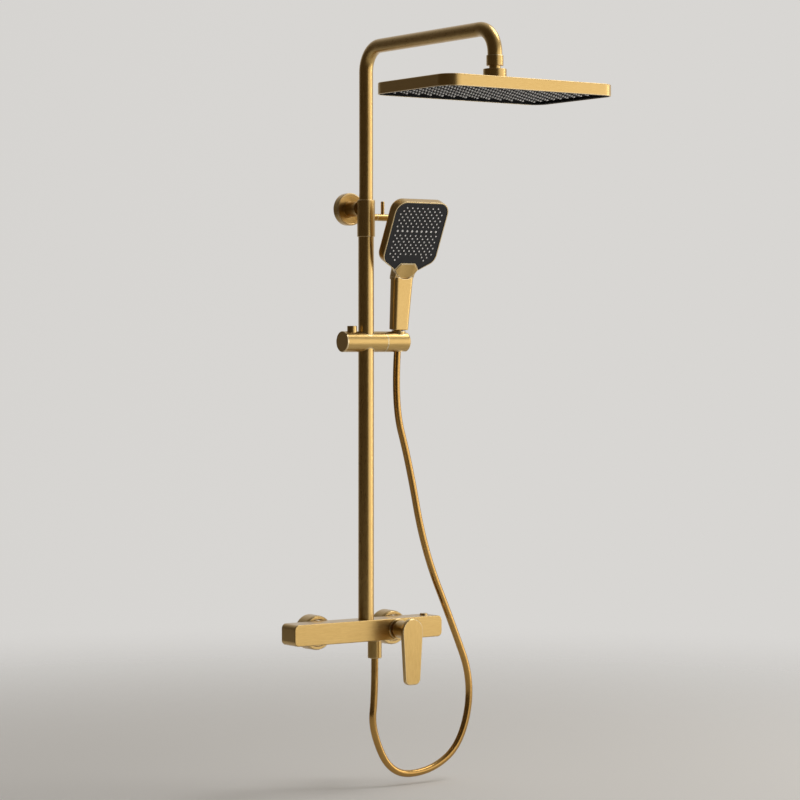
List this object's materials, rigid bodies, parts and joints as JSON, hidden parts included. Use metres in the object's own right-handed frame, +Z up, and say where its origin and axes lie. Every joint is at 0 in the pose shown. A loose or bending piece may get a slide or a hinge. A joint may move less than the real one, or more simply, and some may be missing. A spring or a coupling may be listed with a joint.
{
  "type": "rainfall shower column",
  "caption": "Wall-mounted shower column: bar mixer with lever, telescopic riser with bent arm, rectangular rain head on a ball joint, and a hand shower with hose on a sliding holder.",
  "frame": {"origin": "midway between the two inlet tails, in the finished wall plane", "axes": "+X to the right when facing the wall, +Y into the wall, +Z up along the riser"},
  "size_m": [0.3823, 0.5335, 1.2245],
  "materials": {
    "brushed_gold": "brushed gold coating",
    "head_gold": "brushed gold coating",
    "gold_plated_plastic": "brushed gold plating on plastic",
    "gold_hose": "smooth satin gold",
    "dark_plastic": "satin",
    "light_silicone": "matte silicone",
    "raw_brass": "machined",
    "steel": "bright",
    "black_rubber": "matte",
    "white_nylon": "matte",
    "ceramic": "lapped"
  },
  "bodies": {
    "wall_fixture": {"wall_flange_left": "brushed_gold", "wall_flange_right": "brushed_gold", "inlet_unions": "raw_brass", "union_nuts": "raw_brass", "inlet_spigots": "raw_brass", "inlet_washers": "black_rubber", "check_valves": "white_nylon", "mixer_casing": "brushed_gold", "mixer_rear_cover": "white_nylon", "mixer_manifold": "raw_brass", "riser_seal": "black_rubber", "cartridge_body": "white_nylon", "cartridge_fixed_disc": "ceramic", "cartridge_nut": "raw_brass", "lever_base_ring": "brushed_gold", "diverter_bush": "brushed_gold", "diverter_spring": "steel", "hose_outlet": "raw_brass", "hose_lower_washer": "black_rubber", "hose_lower_nut": "brushed_gold", "hose": "gold_hose", "lower_riser": "brushed_gold", "riser_collar": "brushed_gold", "guide_bush": "white_nylon", "bracket_sleeve": "brushed_gold", "bracket_grub_screws": "steel", "bracket_plate": "steel", "bracket_flange": "brushed_gold"},
    "clamp": {"clamp_screw": "brushed_gold", "clamp_pin": "brushed_gold"},
    "telescope": {"telescope_piston": "white_nylon"},
    "arm": {"upper_tube": "brushed_gold", "arm_nut": "brushed_gold"},
    "ball": {"head_ball": "brushed_gold"},
    "seat": {"ball_seat": "white_nylon"},
    "rain_head": {"ball_flange_nut": "brushed_gold", "head_shell": "head_gold", "head_face": "dark_plastic", "head_nozzles": "light_silicone"},
    "carriage": {"slider_liner": "white_nylon"},
    "slider": {"slider_body": "brushed_gold", "slider_end_cap": "brushed_gold", "slider_spring": "steel", "holder_pivot_bolt": "steel"},
    "release": {"slider_button": "brushed_gold"},
    "holder": {"holder": "brushed_gold", "holder_washer": "white_nylon"},
    "handset": {"handset_shell": "gold_plated_plastic", "handset_face": "dark_plastic", "handset_nozzles": "light_silicone", "handset_nipple": "raw_brass", "handset_washer": "black_rubber", "hose_cone_nut": "brushed_gold"},
    "spray_button": {"handset_button": "gold_plated_plastic"},
    "turret": {"cartridge_turret": "white_nylon", "cartridge_moving_disc": "ceramic"},
    "lever": {"lever": "brushed_gold", "lever_stem": "raw_brass", "lever_screw": "steel"},
    "diverter": {"diverter_button": "brushed_gold"}
  },
  "joints": [
    {"name": "telescope_slide", "type": "slide", "parent": "wall_fixture", "child": "telescope", "axis": [0, 0, 1], "range_m": [-0.05, 0.2]},
    {"name": "arm_swivel", "type": "hinge", "parent": "telescope", "child": "arm", "pos_m": [0, -0.057, 0.7], "axis": [0, 0, 1], "range_deg": [-60, 60]},
    {"name": "head_spin", "type": "hinge", "parent": "arm", "child": "ball", "pos_m": [0, -0.4115, 0.905], "axis": [0, 0, 1], "continuous": true},
    {"name": "head_tilt", "type": "hinge", "parent": "ball", "child": "seat", "pos_m": [0, -0.4115, 0.889], "axis": [1, 0, 0], "range_deg": [-12, 12]},
    {"name": "head_roll", "type": "hinge", "parent": "seat", "child": "rain_head", "pos_m": [0, -0.4115, 0.889], "axis": [0, 1, 0], "range_deg": [-12, 12]},
    {"name": "clamp_turn", "type": "hinge", "parent": "wall_fixture", "child": "clamp", "pos_m": [0.03, -0.057, 0.6847], "axis": [1, 0, 0], "range_deg": [0, 90]},
    {"name": "slider_slide", "type": "slide", "parent": "wall_fixture", "child": "carriage", "axis": [0, 0, 1], "range_m": [-0.32, 0.04], "deforming": ["hose"]},
    {"name": "slider_swivel", "type": "hinge", "parent": "carriage", "child": "slider", "pos_m": [0, -0.057, 0.479], "axis": [0, 0, 1], "range_deg": [-60, 15]},
    {"name": "slider_press", "type": "slide", "parent": "slider", "child": "release", "axis": [0, 0, -1], "range_m": [0, 0.003], "stiffness_N_per_m": 500, "springref_m": -0.004, "deforming": ["slider_spring"]},
    {"name": "holder_tilt", "type": "hinge", "parent": "slider", "child": "holder", "pos_m": [0.05, -0.057, 0.479], "axis": [1, 0, 0], "range_deg": [-2, 30]},
    {"name": "handset_lift", "type": "slide", "parent": "holder", "child": "handset", "axis": [0, -0.1045, 0.9945], "range_m": [0, 0.06]},
    {"name": "spray_press", "type": "slide", "parent": "handset", "child": "spray_button", "axis": [0, 0.9026, 0.4305], "range_m": [0, 0.002], "stiffness_N_per_m": 600, "springref_m": -0.003},
    {"name": "lever_turn", "type": "hinge", "parent": "wall_fixture", "child": "turret", "pos_m": [0.0515, -0.06, 0.003], "axis": [0, 1, 0], "range_deg": [-45, 45]},
    {"name": "lever_lift", "type": "hinge", "parent": "turret", "child": "lever", "pos_m": [0.0515, -0.069, 0.003], "axis": [-1, 0, 0], "range_deg": [0, 20]},
    {"name": "diverter_press", "type": "slide", "parent": "wall_fixture", "child": "diverter", "axis": [0, 0, -1], "range_m": [0, 0.0025], "stiffness_N_per_m": 500, "springref_m": -0.003, "deforming": ["diverter_spring"]}
  ]
}
